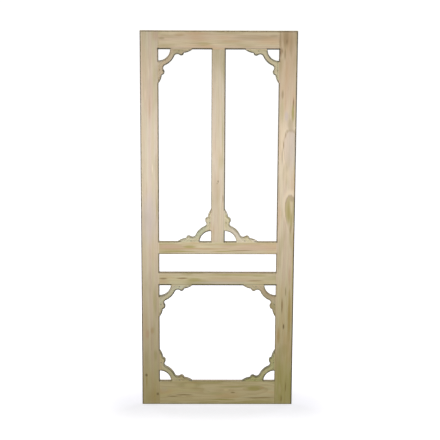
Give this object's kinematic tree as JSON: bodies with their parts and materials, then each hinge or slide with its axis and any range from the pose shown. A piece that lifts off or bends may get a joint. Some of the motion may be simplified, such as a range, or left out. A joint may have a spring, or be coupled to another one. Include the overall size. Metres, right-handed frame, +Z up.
{
  "type": "wooden screen door",
  "caption": "Unfinished softwood screen door slab with stiles, rails and a mullion, open lights and scroll-sawn brackets in the corners, ready for screen cloth and hinges.",
  "frame": {"origin": "foot of the hinge edge, the left edge seen from the front, in the middle of the thickness", "axes": "+X from the hinge edge across the door, +Y from the front face to the back, +Z up"},
  "size_m": [0.813, 0.0254, 2.032],
  "materials": {
    "stile_wood": "bare sanded softwood, grain along the board",
    "rail_wood": "bare sanded softwood, grain along the board",
    "bracket_wood": "bare scroll-sawn softwood"
  },
  "bodies": {
    "root": {"left_stile": "stile_wood", "right_stile": "stile_wood", "mullion": "stile_wood", "top_rail": "rail_wood", "upper_lock_rail": "rail_wood", "lower_lock_rail": "rail_wood", "bottom_rail": "rail_wood", "bracket_top_left": "bracket_wood", "bracket_top_right": "bracket_wood", "bracket_mullion_left": "bracket_wood", "bracket_mullion_right": "bracket_wood", "bracket_lower_top_left": "bracket_wood", "bracket_lower_top_right": "bracket_wood", "bracket_lower_bottom_left": "bracket_wood", "bracket_lower_bottom_right": "bracket_wood"}
  },
  "joints": []
}
